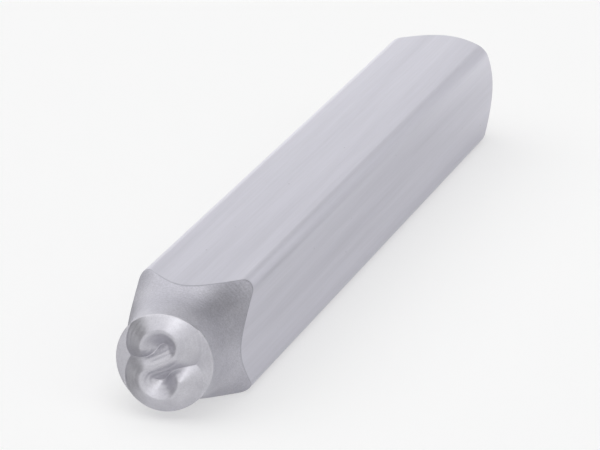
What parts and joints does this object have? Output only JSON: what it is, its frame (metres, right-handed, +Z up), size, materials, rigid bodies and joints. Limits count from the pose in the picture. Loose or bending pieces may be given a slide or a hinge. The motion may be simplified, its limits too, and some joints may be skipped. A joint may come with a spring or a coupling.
{
  "type": "steel letter punch",
  "caption": "Square steel punch with a flared, turned nose that carries a raised reversed letter, and a chamfered end that is struck to stamp it into metal.",
  "frame": {"origin": "on the resting flat, below the middle of the punch", "axes": "+Y along the bar, from the letter towards the struck end; +Z up, towards the top of the letter; the letter faces -Y"},
  "size_m": [0.007, 0.065, 0.007],
  "materials": {
    "steel": "satin, ground flats, turned nose and milled letter"
  },
  "bodies": {
    "root": {"letter_punch": "steel"}
  },
  "joints": []
}
